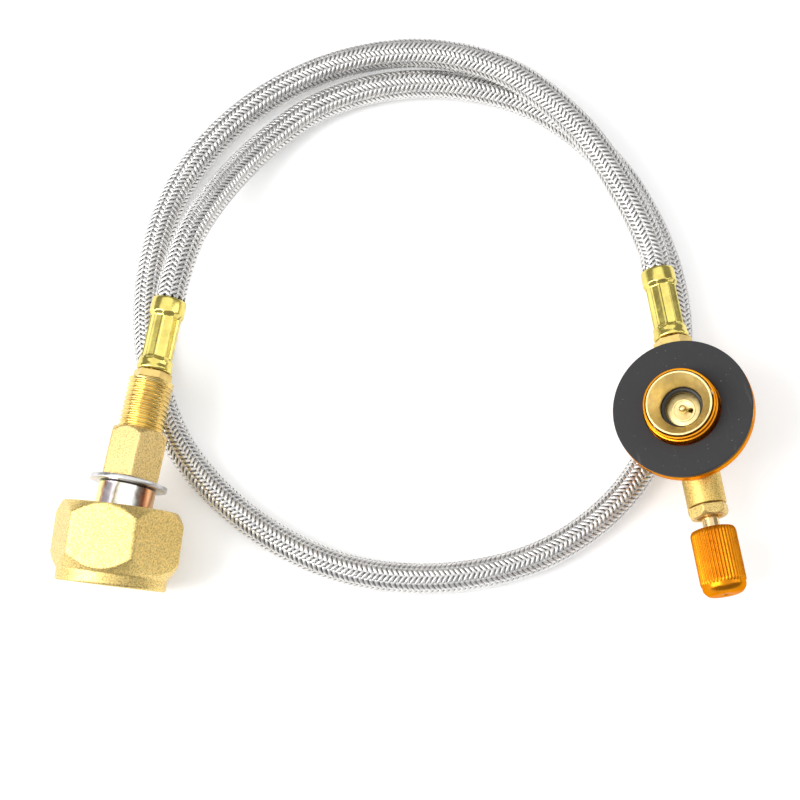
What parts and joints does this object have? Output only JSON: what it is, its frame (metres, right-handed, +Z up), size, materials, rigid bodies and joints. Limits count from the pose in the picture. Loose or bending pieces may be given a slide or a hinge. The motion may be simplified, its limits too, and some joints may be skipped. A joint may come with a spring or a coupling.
{
  "type": "gas transfer hose",
  "caption": "Braided gas transfer hose with a hexagon union nut for a gas cylinder and a screw-on canister connector with a needle valve and knob.",
  "frame": {"origin": "on the surface the hose lies on, under the middle of the box round the two end fittings", "axes": "+Z up from the surface; +X from the cylinder fitting towards the canister connector; +Y from the fittings towards the far side of the coil"},
  "size_m": [0.1774, 0.1571, 0.0321],
  "materials": {
    "sanded_brass": "satin, blasted",
    "bright_brass": "bright, turned",
    "zinc_plate": "bright zinc plate with a passivated sheen",
    "gold_anodised": "gold anodised, satin",
    "steel_braid": "bright woven stainless wire",
    "black_rubber": "matt, moulded",
    "liner_rubber": "matt",
    "packing_plastic": "plain"
  },
  "bodies": {
    "hose_and_fittings": {"valve_end_ferrule": "bright_brass", "valve_end_hose_tail": "bright_brass", "tail_seal": "zinc_plate", "valve_body": "sanded_brass", "base_disc": "gold_anodised", "rubber_pad": "black_rubber", "threaded_bush": "bright_brass", "canister_oring": "black_rubber", "pin_plug": "bright_brass", "depressor_pin": "bright_brass", "gland_nut": "sanded_brass", "gland_packing": "packing_plastic", "cylinder_end_ferrule": "bright_brass", "cylinder_end_hose_tail": "bright_brass", "threaded_adapter": "sanded_brass", "flat_washer": "zinc_plate", "nipple": "zinc_plate", "nipple_gasket": "black_rubber", "hose_braid": "steel_braid", "hose_liner": "liner_rubber"},
    "needle_carriage": {"stem_oring": "black_rubber"},
    "needle_and_knob": {"needle_stem": "bright_brass", "knob": "gold_anodised"},
    "nut_carriage": {"thrust_ring": "packing_plastic"},
    "nut": {"union_nut": "sanded_brass"}
  },
  "joints": [
    {"name": "needle_lift", "type": "slide", "parent": "hose_and_fittings", "child": "needle_carriage", "axis": [0.1494, -0.9882, 0.0349], "range_m": [-0.00201, 0.00101]},
    {"name": "knob_turn", "type": "hinge", "parent": "needle_carriage", "child": "needle_and_knob", "pos_m": [0.07888, -0.02685, 0.01555], "axis": [0.1494, -0.9882, 0.0349], "range_deg": [-720, 360]},
    {"name": "nut_slide", "type": "slide", "parent": "hose_and_fittings", "child": "nut_carriage", "axis": [-0.1219, -0.9815, -0.1477], "range_m": [-0.003, 0]},
    {"name": "nut_spin", "type": "hinge", "parent": "nut_carriage", "child": "nut", "pos_m": [-0.07045, -0.0264, 0.01615], "axis": [-0.1219, -0.9815, -0.1477], "continuous": true}
  ],
  "couplings": [
    {"joint": "needle_lift", "follows": "knob_turn", "m_per_rad": 0.00015915}
  ]
}
